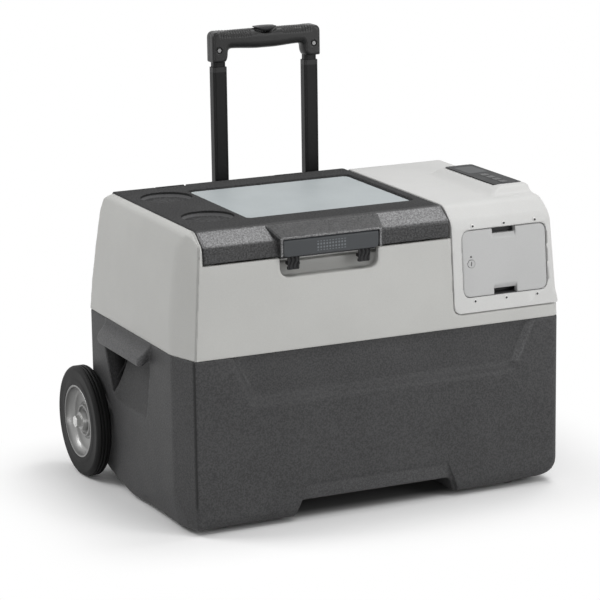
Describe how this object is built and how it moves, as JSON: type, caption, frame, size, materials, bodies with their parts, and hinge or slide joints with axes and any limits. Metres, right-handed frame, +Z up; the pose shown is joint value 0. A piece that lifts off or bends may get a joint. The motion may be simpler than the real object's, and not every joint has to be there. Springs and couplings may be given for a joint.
{
  "type": "wheeled compressor cooler box",
  "caption": "Wheeled compressor cooler box with hinged lid, cup holders, latch, lift-out board, pull-out battery, control panel and telescopic trolley handle.",
  "frame": {"origin": "floor, under the middle of the whole object's box", "axes": "+X to the right seen from the front, +Y to the back where the trolley handle and wheels are, +Z up"},
  "size_m": [0.707, 0.4822, 0.707],
  "materials": {
    "light_grey": "moulded, fine texture",
    "door_grey": "moulded, fine texture",
    "charcoal": "pebble grained",
    "lid_charcoal": "pebble grained",
    "board": "satin",
    "liner_white": "moulded",
    "foam": "cellular",
    "seal_rubber": "matt",
    "latch_grey": "fine dot grid",
    "black_plastic": "fine grained",
    "tube_black": "black anodised",
    "steel": "zinc plated",
    "rim_silver": "silver paint",
    "tyre": "solid rubber",
    "aluminium": "plain",
    "compressor_black": "satin black",
    "copper": "bare tube",
    "board_green": "coated",
    "panel_black": "gloss membrane",
    "display": "smoked window",
    "cell_blue": "wrapped"
  },
  "bodies": {
    "root": {"lower_shell": "charcoal", "upper_shell": "light_grey", "compressor_cover": "light_grey", "bulkhead": "steel", "inner_liner": "liner_white", "tub_foam": "foam", "evaporator": "aluminium", "compressor": "compressor_black", "compressor_grommets": "seal_rubber", "condenser": "aluminium", "fan_frame": "black_plastic", "refrigerant_tubes": "copper", "compressor_controller": "aluminium", "control_board": "board_green", "panel_fascia": "panel_black", "display_window": "display", "battery_bay": "black_plastic", "cover_screws": "steel", "vent_grille": "black_plastic", "dc_inlet": "black_plastic", "rubber_feet": "seal_rubber", "axle": "steel", "axle_brackets": "steel", "axle_nuts": "steel", "outer_tubes": "tube_black", "upper_tube_bracket": "black_plastic", "lower_tube_bracket": "black_plastic", "hinge_brackets": "steel", "hinge_pins": "steel", "latch_strikes": "black_plastic"},
    "fan": {"fan_rotor": "black_plastic"},
    "lid": {"lid_outer": "lid_charcoal", "lid_inner": "liner_white", "lid_foam": "foam", "lid_gasket": "seal_rubber", "lid_hinges": "steel", "latch_housing": "lid_charcoal"},
    "board": {"cutting_board": "board"},
    "latch": {"latch_handle": "latch_grey", "latch_hooks": "black_plastic"},
    "handle_middle": {"middle_tubes": "tube_black", "middle_collars": "black_plastic"},
    "handle_top": {"inner_tubes": "tube_black", "grip_front": "black_plastic", "grip_back": "black_plastic", "grip_screws": "steel"},
    "release": {"release_button": "black_plastic", "release_rods": "steel"},
    "left_wheel": {"tyre_left": "tyre", "rim_left": "rim_silver"},
    "right_wheel": {"tyre_right": "tyre", "rim_right": "rim_silver"},
    "battery": {"battery_door": "door_grey", "battery_case": "black_plastic", "battery_cells": "cell_blue"},
    "lock": {"battery_lock": "steel"},
    "power_key": {"power_button": "panel_black"},
    "set_key": {"set_button": "panel_black"},
    "up_key": {"up_button": "panel_black"},
    "down_key": {"down_button": "panel_black"}
  },
  "joints": [
    {"name": "lid_hinge", "type": "hinge", "parent": "root", "child": "lid", "pos_m": [-0.075, 0.14512, 0.4575], "axis": [-1, 0, 0], "range_deg": [0, 90]},
    {"name": "latch_hinge", "type": "hinge", "parent": "lid", "child": "latch", "pos_m": [-0.075, -0.23388, 0.44], "axis": [-1, 0, 0], "range_deg": [-3, 55]},
    {"name": "board_lift", "type": "slide", "parent": "lid", "child": "board", "axis": [0, 0, 1], "range_m": [0, 0.009]},
    {"name": "handle_stage_1", "type": "slide", "parent": "root", "child": "handle_middle", "axis": [0, 0, 1], "range_m": [-0.19, 0]},
    {"name": "handle_stage_2", "type": "slide", "parent": "handle_middle", "child": "handle_top", "axis": [0, 0, 1], "range_m": [0, 0.19]},
    {"name": "release_press", "type": "slide", "parent": "handle_top", "child": "release", "axis": [0, 0, -1], "range_m": [0, 0.004], "stiffness_N_per_m": 1500, "springref_m": -0.002},
    {"name": "left_wheel_spin", "type": "hinge", "parent": "root", "child": "left_wheel", "pos_m": [-0.3355, 0.15112, 0.09], "axis": [1, 0, 0], "continuous": true},
    {"name": "right_wheel_spin", "type": "hinge", "parent": "root", "child": "right_wheel", "pos_m": [0.3355, 0.15112, 0.09], "axis": [1, 0, 0], "continuous": true},
    {"name": "battery_slide", "type": "slide", "parent": "root", "child": "battery", "axis": [0, -1, 0], "range_m": [0, 0.125]},
    {"name": "lock_turn", "type": "hinge", "parent": "battery", "child": "lock", "pos_m": [0.166, -0.23288, 0.372], "axis": [0, -1, 0], "range_deg": [0, 90]},
    {"name": "fan_spin", "type": "hinge", "parent": "root", "child": "fan", "pos_m": [0.224, 0.13712, 0.184], "axis": [0, 1, 0], "continuous": true},
    {"name": "power_press", "type": "slide", "parent": "root", "child": "power_key", "axis": [0, 0, -1], "range_m": [0, 0.0008], "stiffness_N_per_m": 600, "springref_m": -0.0008},
    {"name": "set_press", "type": "slide", "parent": "root", "child": "set_key", "axis": [0, 0, -1], "range_m": [0, 0.0008], "stiffness_N_per_m": 600, "springref_m": -0.0008},
    {"name": "up_press", "type": "slide", "parent": "root", "child": "up_key", "axis": [0, 0, -1], "range_m": [0, 0.0008], "stiffness_N_per_m": 600, "springref_m": -0.0008},
    {"name": "down_press", "type": "slide", "parent": "root", "child": "down_key", "axis": [0, 0, -1], "range_m": [0, 0.0008], "stiffness_N_per_m": 600, "springref_m": -0.0008}
  ]
}
